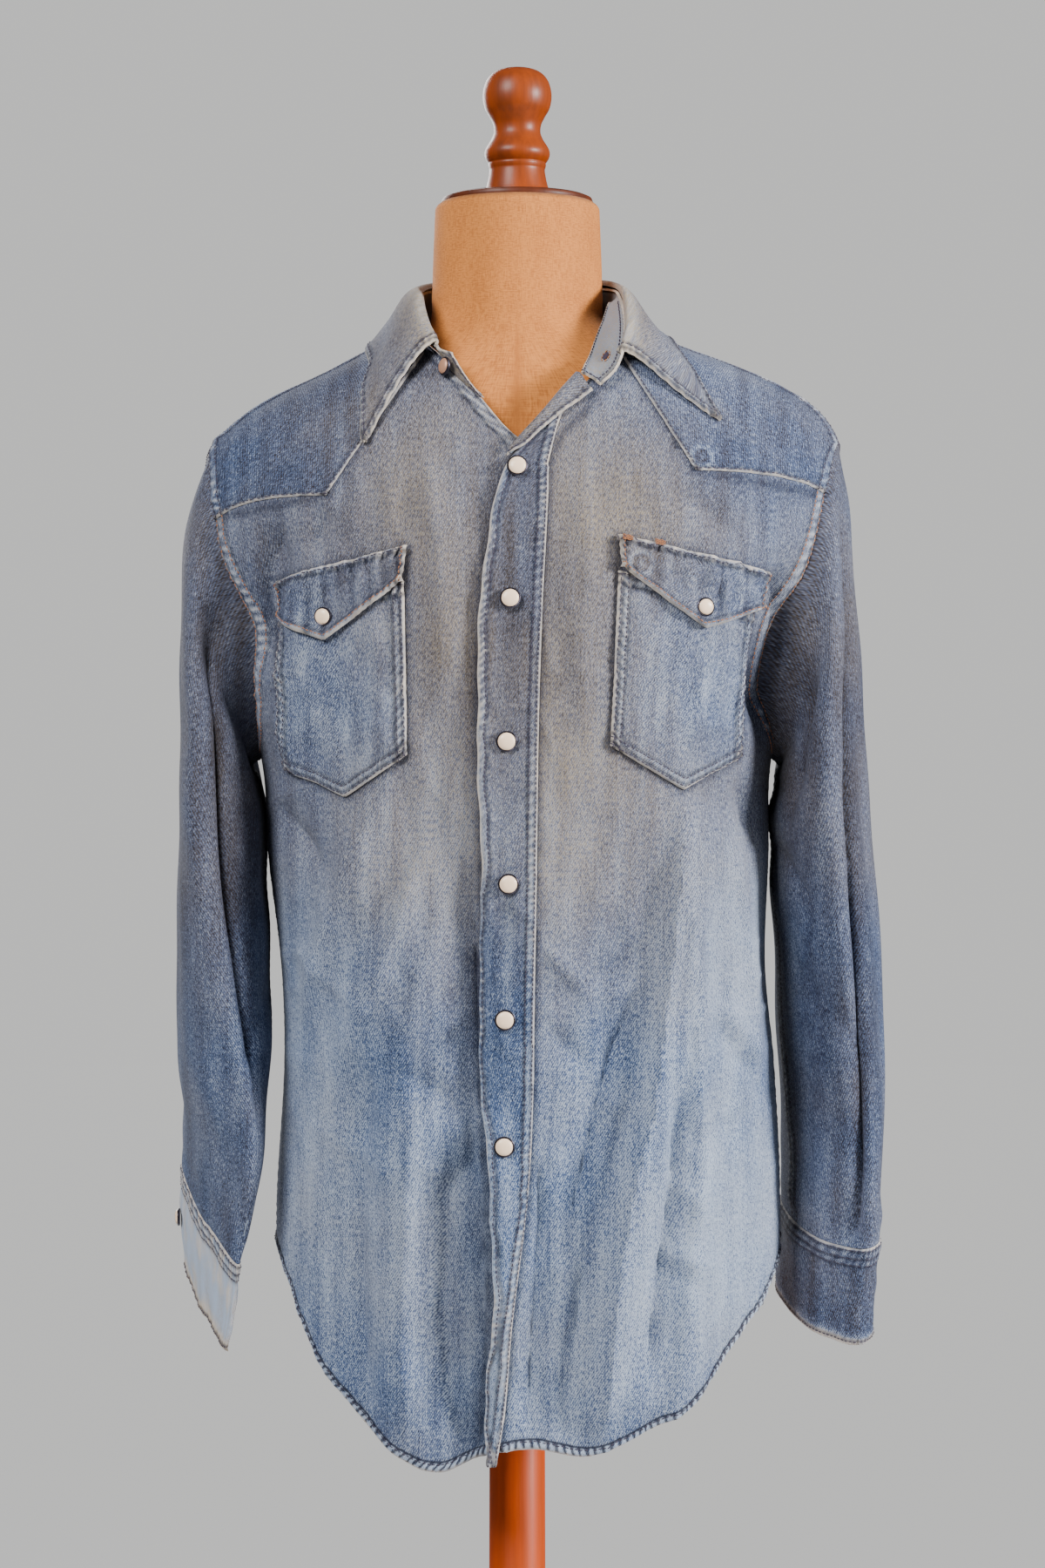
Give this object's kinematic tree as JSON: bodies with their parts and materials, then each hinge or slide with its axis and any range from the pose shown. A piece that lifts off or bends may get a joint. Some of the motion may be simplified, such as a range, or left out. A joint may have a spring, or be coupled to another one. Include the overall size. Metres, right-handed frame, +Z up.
{
  "type": "denim shirt on a dress form",
  "caption": "Long-sleeved snap-front denim western shirt with pointed yokes and flap pockets, worn by a limbless linen dress form on a turned wooden stand.",
  "frame": {"origin": "centre of the base's underside, on the pole's axis", "axes": "+Z up along the pole, -Y to the shirt's front, +X to the wearer's left"},
  "size_m": [0.5103, 0.41, 1.6137],
  "materials": {
    "denim": "worn, faded blue cotton twill",
    "snap_cap": "pearly cream cap in a dark metal rim",
    "linen": "plain woven natural linen, smooth on a hard shell",
    "dark_wood": "dark gloss varnish",
    "pole_wood": "orange-brown satin varnish"
  },
  "bodies": {
    "root": {"front_right": "denim", "front_left": "denim", "back": "denim", "back_yoke": "denim", "front_yoke_right": "denim", "front_yoke_left": "denim", "placket": "denim", "collar_stand": "denim", "collar_leaf": "denim", "sleeve_right": "denim", "sleeve_left": "denim", "cuff_right": "denim", "cuff_left": "denim", "pocket_right": "denim", "pocket_left": "denim", "flap_right": "denim", "flap_left": "denim", "snap_1": "snap_cap", "snap_2": "snap_cap", "snap_3": "snap_cap", "snap_4": "snap_cap", "snap_5": "snap_cap", "snap_6": "snap_cap", "flap_snap_right": "snap_cap", "flap_snap_left": "snap_cap", "cuff_snap_right": "snap_cap", "cuff_snap_left": "snap_cap", "collar_button": "snap_cap", "form_torso": "linen", "neck_cap": "dark_wood", "finial": "dark_wood", "pole": "pole_wood", "base": "pole_wood"}
  },
  "joints": []
}
